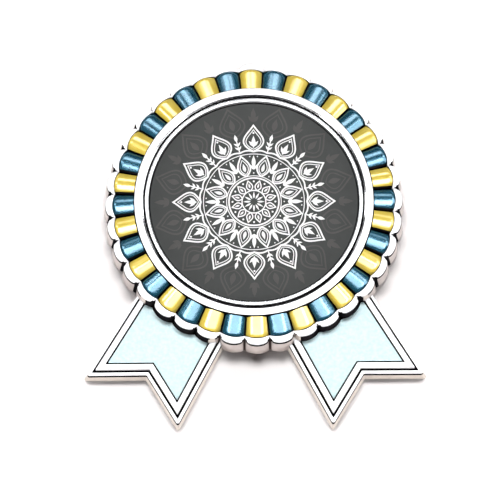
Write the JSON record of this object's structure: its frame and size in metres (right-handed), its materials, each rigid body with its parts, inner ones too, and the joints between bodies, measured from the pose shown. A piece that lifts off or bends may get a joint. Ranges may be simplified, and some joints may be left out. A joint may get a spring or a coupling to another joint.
{
  "type": "metal award-rosette brooch",
  "caption": "Round cast-metal rosette brooch with gold and blue enamel pleats, a printed grey centre, swallow-tailed pale blue ribbon tails and a pin in the back.",
  "frame": {"origin": "middle of the overall width and height, on the flat back that the brooch rests on", "axes": "+Z out of the front face, +Y towards the top of the rosette, +X to the right seen from the front"},
  "size_m": [0.0406, 0.0454, 0.0041],
  "materials": {
    "cast_metal": "silver-plated zinc casting, soft polish, black in the recesses",
    "gold_enamel": "glossy translucent gold enamel over a half-round pleat",
    "blue_enamel": "glossy translucent blue enamel over a half-round pleat",
    "pale_enamel": "pale blue enamel with a fine frosted grain",
    "bright_ring": "polished",
    "printed_insert": "smooth charcoal print with a white radial ornament",
    "pin_steel": "plain nickel-plated steel"
  },
  "bodies": {
    "root": {"casting": "cast_metal", "pleat_gold_01": "gold_enamel", "pleat_blue_01": "blue_enamel", "pleat_gold_02": "gold_enamel", "pleat_blue_02": "blue_enamel", "pleat_gold_03": "gold_enamel", "pleat_blue_03": "blue_enamel", "pleat_gold_04": "gold_enamel", "pleat_blue_04": "blue_enamel", "pleat_gold_05": "gold_enamel", "pleat_blue_05": "blue_enamel", "pleat_gold_06": "gold_enamel", "pleat_blue_06": "blue_enamel", "pleat_gold_07": "gold_enamel", "pleat_blue_07": "blue_enamel", "pleat_gold_08": "gold_enamel", "pleat_blue_08": "blue_enamel", "pleat_gold_09": "gold_enamel", "pleat_blue_09": "blue_enamel", "pleat_gold_10": "gold_enamel", "pleat_blue_10": "blue_enamel", "pleat_gold_11": "gold_enamel", "pleat_blue_11": "blue_enamel", "pleat_gold_12": "gold_enamel", "pleat_blue_12": "blue_enamel", "pleat_gold_13": "gold_enamel", "pleat_blue_13": "blue_enamel", "pleat_gold_14": "gold_enamel", "pleat_blue_14": "blue_enamel", "pleat_gold_15": "gold_enamel", "pleat_blue_15": "blue_enamel", "pleat_gold_16": "gold_enamel", "pleat_blue_16": "blue_enamel", "pleat_gold_17": "gold_enamel", "pleat_blue_17": "blue_enamel", "pleat_gold_18": "gold_enamel", "pleat_blue_18": "blue_enamel", "tail_field_left": "pale_enamel", "tail_field_right": "pale_enamel", "insert_ring": "bright_ring", "centre_disc": "printed_insert", "brooch_pin": "pin_steel"}
  },
  "joints": []
}
